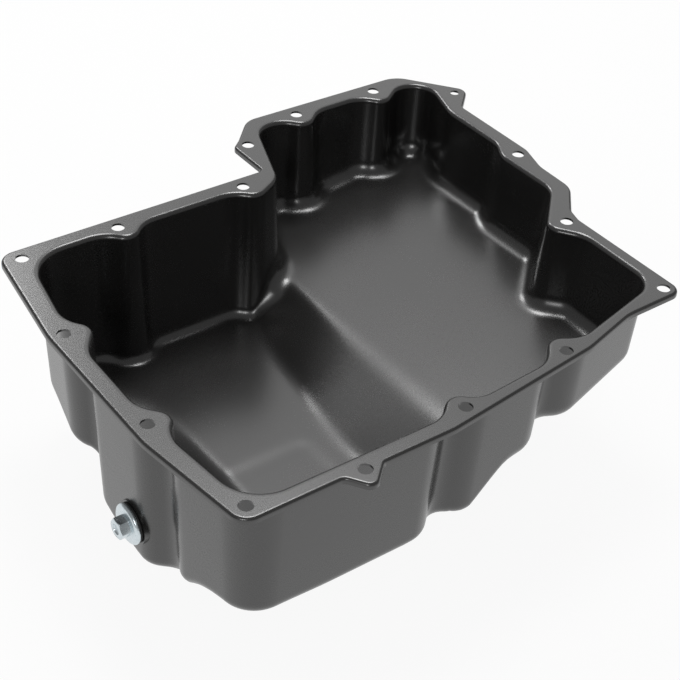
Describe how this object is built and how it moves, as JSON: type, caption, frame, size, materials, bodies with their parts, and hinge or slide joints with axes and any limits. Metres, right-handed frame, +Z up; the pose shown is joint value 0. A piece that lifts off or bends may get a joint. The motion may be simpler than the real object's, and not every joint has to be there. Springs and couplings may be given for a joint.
{
  "type": "engine oil pan",
  "caption": "Deep-drawn steel engine oil pan, satin black, with a stepped sump, sixteen-hole flange and an M14 drain plug with its seal.",
  "frame": {"origin": "under the middle of the pan, level with the lowest point of its drain well", "axes": "+Z up to the gasket face, +X from the deep sump towards the shallow end, +Y towards the long straight edge with the outer ear"},
  "size_m": [0.4189, 0.3663, 0.1373],
  "materials": {
    "black_steel": "satin black electrophoretic paint",
    "zinc": "zinc plated, slightly blue",
    "seal_rubber": "matte"
  },
  "bodies": {
    "pan": {"pan_shell": "black_steel", "drain_nut": "zinc"},
    "seal": {"plug_seal": "seal_rubber"},
    "plug": {"drain_plug": "zinc"}
  },
  "joints": [
    {"name": "plug_out", "type": "slide", "parent": "pan", "child": "seal", "axis": [-1, 0, 0], "range_m": [0, 0.015]},
    {"name": "plug_turn", "type": "hinge", "parent": "seal", "child": "plug", "pos_m": [-0.1964, -0.0428, 0.03265], "axis": [-1, 0, 0], "range_deg": [0, 3600]}
  ],
  "couplings": [
    {"joint": "plug_turn", "follows": "plug_out", "rad_per_m": 4188.8}
  ]
}
